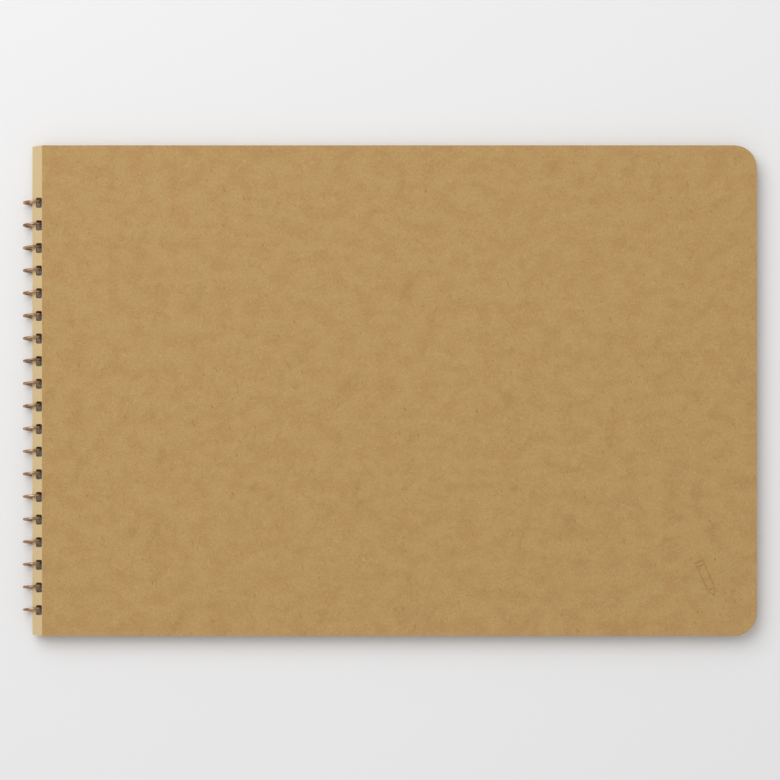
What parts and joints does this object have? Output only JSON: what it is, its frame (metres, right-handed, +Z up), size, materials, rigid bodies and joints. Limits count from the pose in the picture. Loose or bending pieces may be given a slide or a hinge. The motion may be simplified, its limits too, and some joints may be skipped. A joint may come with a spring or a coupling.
{
  "type": "spiral-bound sketchbook",
  "caption": "Landscape sketchbook: two kraft board covers and a block of drawing paper that turn about one wire coil along the short edge.",
  "frame": {"origin": "under the middle of the closed book, at the level of the coil's lowest point", "axes": "+X from the spine to the fore-edge, +Y from the tail to the head, +Z up out of the front cover"},
  "size_m": [0.1948, 0.13, 0.0054],
  "materials": {
    "kraft_board": "matt brown kraft board with fine fibres and faint mottles",
    "drawing_paper": "uncoated off-white drawing paper",
    "coil_wire": "antique bronze-coloured wire, satin"
  },
  "bodies": {
    "back": {"back_cover": "kraft_board", "binding_coil": "coil_wire"},
    "front": {"front_cover": "kraft_board"},
    "leaf_01": {"sheet_01": "drawing_paper"},
    "leaf_02": {"sheet_02": "drawing_paper"},
    "leaf_03": {"sheet_03": "drawing_paper"},
    "leaf_04": {"sheet_04": "drawing_paper"},
    "leaf_05": {"sheet_05": "drawing_paper"},
    "leaf_06": {"sheet_06": "drawing_paper"},
    "leaf_07": {"sheet_07": "drawing_paper"},
    "leaf_08": {"sheet_08": "drawing_paper"},
    "leaf_09": {"sheet_09": "drawing_paper"},
    "leaf_10": {"sheet_10": "drawing_paper"},
    "leaf_11": {"sheet_11": "drawing_paper"},
    "leaf_12": {"sheet_12": "drawing_paper"},
    "leaf_13": {"sheet_13": "drawing_paper"},
    "leaf_14": {"sheet_14": "drawing_paper"},
    "leaf_15": {"sheet_15": "drawing_paper"},
    "leaf_16": {"sheet_16": "drawing_paper"},
    "leaf_17": {"sheet_17": "drawing_paper"},
    "leaf_18": {"sheet_18": "drawing_paper"},
    "leaf_19": {"sheet_19": "drawing_paper"},
    "leaf_20": {"sheet_20": "drawing_paper"}
  },
  "joints": [
    {"name": "front_cover_turn", "type": "hinge", "parent": "back", "child": "front", "pos_m": [-0.09468, 0, 0.00269], "axis": [0, -1, 0], "range_deg": [0, 180]},
    {"name": "sheet_01_turn", "type": "hinge", "parent": "back", "child": "leaf_01", "pos_m": [-0.09468, 0, 0.00269], "axis": [0, -1, 0], "range_deg": [0, 180]},
    {"name": "sheet_02_turn", "type": "hinge", "parent": "back", "child": "leaf_02", "pos_m": [-0.09468, 0, 0.00269], "axis": [0, -1, 0], "range_deg": [0, 180]},
    {"name": "sheet_03_turn", "type": "hinge", "parent": "back", "child": "leaf_03", "pos_m": [-0.09468, 0, 0.00269], "axis": [0, -1, 0], "range_deg": [0, 180]},
    {"name": "sheet_04_turn", "type": "hinge", "parent": "back", "child": "leaf_04", "pos_m": [-0.09468, 0, 0.00269], "axis": [0, -1, 0], "range_deg": [0, 180]},
    {"name": "sheet_05_turn", "type": "hinge", "parent": "back", "child": "leaf_05", "pos_m": [-0.09468, 0, 0.00269], "axis": [0, -1, 0], "range_deg": [0, 180]},
    {"name": "sheet_06_turn", "type": "hinge", "parent": "back", "child": "leaf_06", "pos_m": [-0.09468, 0, 0.00269], "axis": [0, -1, 0], "range_deg": [0, 180]},
    {"name": "sheet_07_turn", "type": "hinge", "parent": "back", "child": "leaf_07", "pos_m": [-0.09468, 0, 0.00269], "axis": [0, -1, 0], "range_deg": [0, 180]},
    {"name": "sheet_08_turn", "type": "hinge", "parent": "back", "child": "leaf_08", "pos_m": [-0.09468, 0, 0.00269], "axis": [0, -1, 0], "range_deg": [0, 180]},
    {"name": "sheet_09_turn", "type": "hinge", "parent": "back", "child": "leaf_09", "pos_m": [-0.09468, 0, 0.00269], "axis": [0, -1, 0], "range_deg": [0, 180]},
    {"name": "sheet_10_turn", "type": "hinge", "parent": "back", "child": "leaf_10", "pos_m": [-0.09468, 0, 0.00269], "axis": [0, -1, 0], "range_deg": [0, 180]},
    {"name": "sheet_11_turn", "type": "hinge", "parent": "back", "child": "leaf_11", "pos_m": [-0.09468, 0, 0.00269], "axis": [0, -1, 0], "range_deg": [0, 180]},
    {"name": "sheet_12_turn", "type": "hinge", "parent": "back", "child": "leaf_12", "pos_m": [-0.09468, 0, 0.00269], "axis": [0, -1, 0], "range_deg": [0, 180]},
    {"name": "sheet_13_turn", "type": "hinge", "parent": "back", "child": "leaf_13", "pos_m": [-0.09468, 0, 0.00269], "axis": [0, -1, 0], "range_deg": [0, 180]},
    {"name": "sheet_14_turn", "type": "hinge", "parent": "back", "child": "leaf_14", "pos_m": [-0.09468, 0, 0.00269], "axis": [0, -1, 0], "range_deg": [0, 180]},
    {"name": "sheet_15_turn", "type": "hinge", "parent": "back", "child": "leaf_15", "pos_m": [-0.09468, 0, 0.00269], "axis": [0, -1, 0], "range_deg": [0, 180]},
    {"name": "sheet_16_turn", "type": "hinge", "parent": "back", "child": "leaf_16", "pos_m": [-0.09468, 0, 0.00269], "axis": [0, -1, 0], "range_deg": [0, 180]},
    {"name": "sheet_17_turn", "type": "hinge", "parent": "back", "child": "leaf_17", "pos_m": [-0.09468, 0, 0.00269], "axis": [0, -1, 0], "range_deg": [0, 180]},
    {"name": "sheet_18_turn", "type": "hinge", "parent": "back", "child": "leaf_18", "pos_m": [-0.09468, 0, 0.00269], "axis": [0, -1, 0], "range_deg": [0, 180]},
    {"name": "sheet_19_turn", "type": "hinge", "parent": "back", "child": "leaf_19", "pos_m": [-0.09468, 0, 0.00269], "axis": [0, -1, 0], "range_deg": [0, 180]},
    {"name": "sheet_20_turn", "type": "hinge", "parent": "back", "child": "leaf_20", "pos_m": [-0.09468, 0, 0.00269], "axis": [0, -1, 0], "range_deg": [0, 180]}
  ],
  "couplings": [
    {"joint": "sheet_01_turn", "follows": "front_cover_turn", "ratio": 0.9692},
    {"joint": "sheet_02_turn", "follows": "front_cover_turn", "ratio": 0.9666},
    {"joint": "sheet_03_turn", "follows": "front_cover_turn", "ratio": 0.962},
    {"joint": "sheet_04_turn", "follows": "front_cover_turn", "ratio": 0.9536},
    {"joint": "sheet_05_turn", "follows": "front_cover_turn", "ratio": 0.9387},
    {"joint": "sheet_06_turn", "follows": "front_cover_turn", "ratio": 0.9128},
    {"joint": "sheet_07_turn", "follows": "front_cover_turn", "ratio": 0.8693},
    {"joint": "sheet_08_turn", "follows": "front_cover_turn", "ratio": 0.8},
    {"joint": "sheet_09_turn", "follows": "front_cover_turn", "ratio": 0.6993},
    {"joint": "sheet_10_turn", "follows": "front_cover_turn", "ratio": 0.5703},
    {"joint": "sheet_11_turn", "follows": "front_cover_turn", "ratio": 0.4297},
    {"joint": "sheet_12_turn", "follows": "front_cover_turn", "ratio": 0.3007},
    {"joint": "sheet_13_turn", "follows": "front_cover_turn", "ratio": 0.2},
    {"joint": "sheet_14_turn", "follows": "front_cover_turn", "ratio": 0.1307},
    {"joint": "sheet_15_turn", "follows": "front_cover_turn", "ratio": 0.0872},
    {"joint": "sheet_16_turn", "follows": "front_cover_turn", "ratio": 0.0613},
    {"joint": "sheet_17_turn", "follows": "front_cover_turn", "ratio": 0.0464},
    {"joint": "sheet_18_turn", "follows": "front_cover_turn", "ratio": 0.038},
    {"joint": "sheet_19_turn", "follows": "front_cover_turn", "ratio": 0.0334},
    {"joint": "sheet_20_turn", "follows": "front_cover_turn", "ratio": 0.0308}
  ]
}
